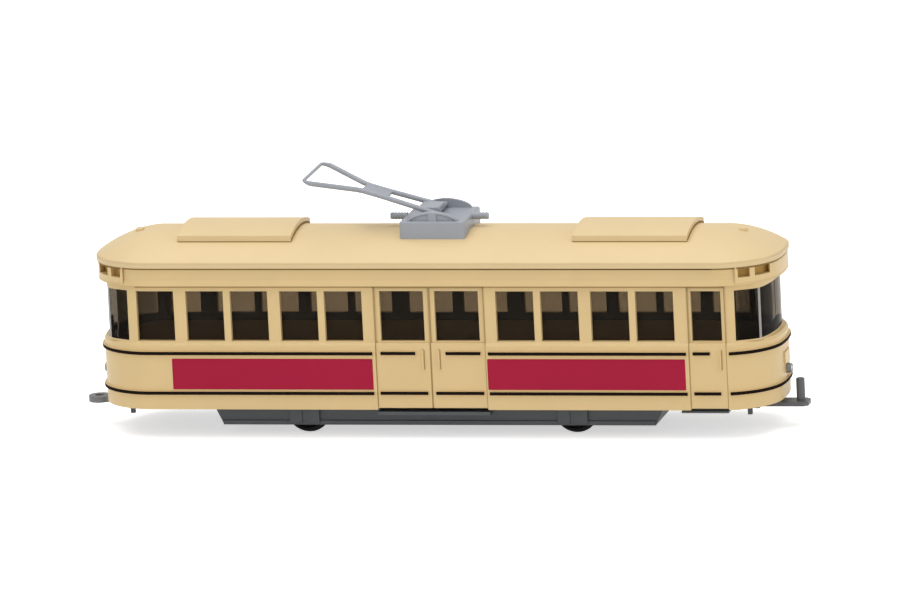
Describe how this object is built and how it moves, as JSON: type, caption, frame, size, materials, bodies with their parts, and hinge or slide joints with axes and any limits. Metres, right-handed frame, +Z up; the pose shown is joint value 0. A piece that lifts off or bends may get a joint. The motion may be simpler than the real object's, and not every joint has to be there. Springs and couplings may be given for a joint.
{
  "type": "model tram",
  "caption": "Small plastic model of a cream two-axle tram with centre doors, smoked windows, a roof bow collector that tips and swinging couplings.",
  "frame": {"origin": "middle of the car on the plane its wheels stand on", "axes": "+X along the car towards the end with the coupling pin, +Y across to its left side, +Z up"},
  "size_m": [0.1365, 0.0274, 0.0483],
  "materials": {
    "cream": "satin cream plastic",
    "roof_cream": "satin cream plastic, a little paler",
    "smoked": "clear smoked plastic",
    "chassis_grey": "dark grey plastic",
    "black": "black plastic",
    "coupling_dark": "dark grey plastic",
    "coupling_pale": "mid grey plastic",
    "collector_grey": "pale grey plastic",
    "lamp": "grey painted lamp",
    "steel": "plain steel rod"
  },
  "bodies": {
    "car": {"body_shell": "cream", "roof": "roof_cream", "glazing": "smoked", "chassis": "chassis_grey", "headlamp_front": "lamp", "headlamp_rear": "lamp", "collector_base": "collector_grey"},
    "wheelset_front": {"axle_front": "steel", "wheel_front_left": "black", "wheel_front_right": "black"},
    "wheelset_rear": {"axle_rear": "steel", "wheel_rear_left": "black", "wheel_rear_right": "black"},
    "bow": {"collector_bow": "collector_grey"},
    "front_coupling": {"coupling_front": "coupling_dark"},
    "rear_coupling": {"coupling_rear": "coupling_pale"}
  },
  "joints": [
    {"name": "front_wheels_turn", "type": "hinge", "parent": "car", "child": "wheelset_front", "pos_m": [0.0253, 0, 0.0042], "axis": [0, 1, 0], "continuous": true},
    {"name": "rear_wheels_turn", "type": "hinge", "parent": "car", "child": "wheelset_rear", "pos_m": [-0.0253, 0, 0.0042], "axis": [0, 1, 0], "continuous": true},
    {"name": "bow_tip", "type": "hinge", "parent": "car", "child": "bow", "pos_m": [0, 0, 0.04075], "axis": [0, 1, 0], "range_deg": [-16, 45]},
    {"name": "front_coupling_swing", "type": "hinge", "parent": "car", "child": "front_coupling", "pos_m": [0.058, 0, 0.0046], "axis": [0, 0, 1], "range_deg": [-22, 22]},
    {"name": "rear_coupling_swing", "type": "hinge", "parent": "car", "child": "rear_coupling", "pos_m": [-0.058, 0, 0.0046], "axis": [0, 0, 1], "range_deg": [-22, 22]}
  ]
}
